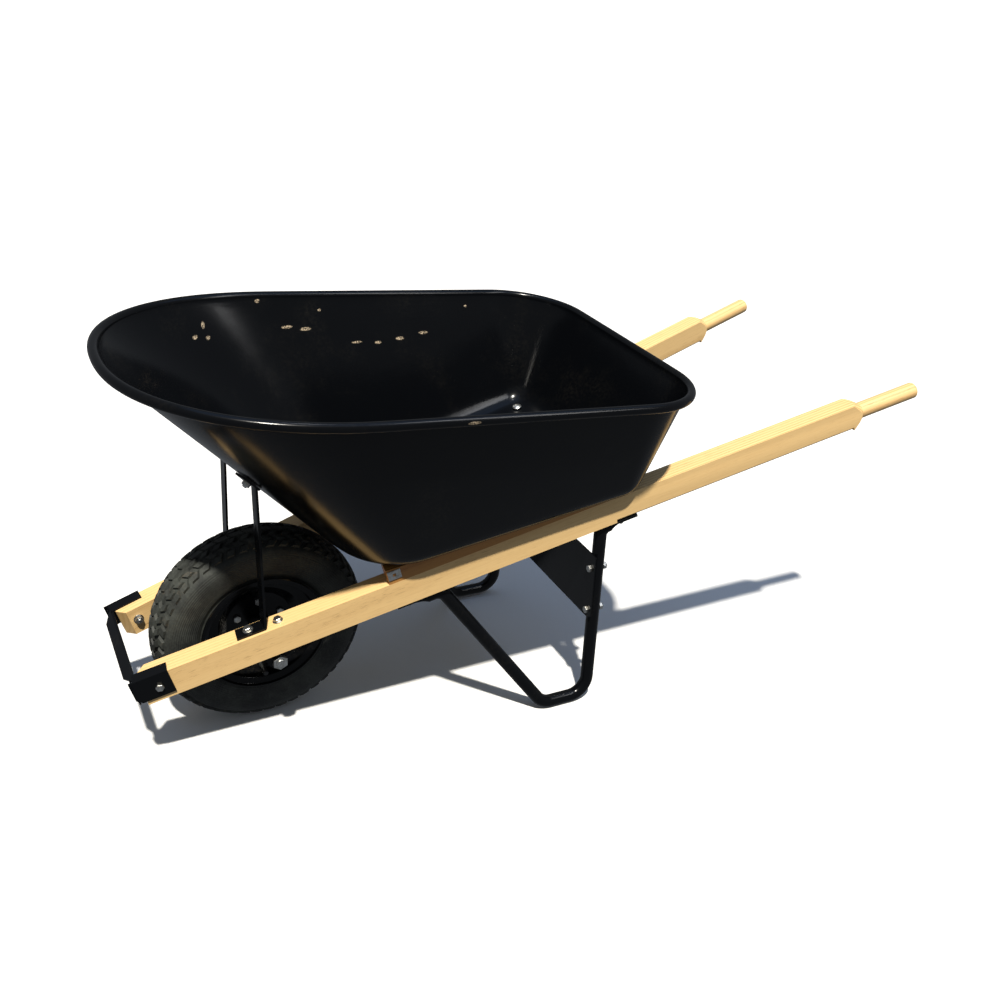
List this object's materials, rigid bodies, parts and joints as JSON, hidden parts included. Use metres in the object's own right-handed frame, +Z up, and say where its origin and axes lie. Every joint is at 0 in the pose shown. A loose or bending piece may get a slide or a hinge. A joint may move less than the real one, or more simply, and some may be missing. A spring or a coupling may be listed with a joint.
{
  "type": "wheelbarrow",
  "caption": "Wheelbarrow with a deep rounded steel tray, two straight wooden handles, one pneumatic front wheel and two bent tube legs joined by a brace plate.",
  "frame": {"origin": "on the floor under the middle of the whole object's box", "axes": "+Z up, +Y towards the grips, the wheel at -Y, +X to the user's left; the wheel turns about X"},
  "size_m": [0.6404, 1.508, 0.7348],
  "materials": {
    "tray_enamel": "glossy black baked enamel over pressed steel, fine scratches inside",
    "frame_paint": "glossy black enamel on tube and strip steel",
    "rim_paint": "black enamel on pressed steel",
    "handle_wood": "clear-coated pale hardwood with straight grain",
    "wedge_wood": "clear-coated hardwood, a little redder than the handles",
    "tyre_rubber": "dusty black rubber, block tread and ribbed sidewall",
    "tube_rubber": "smooth black rubber",
    "cap_plastic": "moulded black plastic",
    "zinc_steel": "bright zinc-plated steel"
  },
  "bodies": {
    "frame": {"tray": "tray_enamel", "left_handle": "handle_wood", "right_handle": "handle_wood", "left_wedge": "wedge_wood", "right_wedge": "wedge_wood", "wedge_clips": "zinc_steel", "left_leg": "frame_paint", "right_leg": "frame_paint", "leg_brace": "frame_paint", "nose_guard": "frame_paint", "left_tray_strut": "frame_paint", "right_tray_strut": "frame_paint", "left_axle_bracket": "frame_paint", "right_axle_bracket": "frame_paint", "axle": "zinc_steel", "axle_spacers": "zinc_steel", "axle_nuts": "zinc_steel", "bracket_bolts": "zinc_steel", "bracket_nuts": "zinc_steel", "bracket_washers": "zinc_steel", "tray_bolts": "zinc_steel", "tray_nuts": "zinc_steel", "tray_washers": "zinc_steel", "brace_bolts": "zinc_steel", "brace_nuts": "zinc_steel", "guard_bolts": "zinc_steel", "guard_washers": "zinc_steel", "guard_nuts": "zinc_steel", "strut_bolts": "zinc_steel", "strut_nuts": "zinc_steel"},
    "wheel": {"tyre": "tyre_rubber", "inner_tube": "tube_rubber", "left_rim_half": "rim_paint", "right_rim_half": "rim_paint", "hub": "rim_paint", "left_bearing": "zinc_steel", "right_bearing": "zinc_steel", "valve_stem": "tube_rubber", "valve_cap": "cap_plastic", "rim_bolts": "zinc_steel", "rim_nuts": "zinc_steel"}
  },
  "joints": [
    {"name": "wheel_spin", "type": "hinge", "parent": "frame", "child": "wheel", "pos_m": [0, -0.49945, 0.195], "axis": [1, 0, 0], "continuous": true}
  ]
}
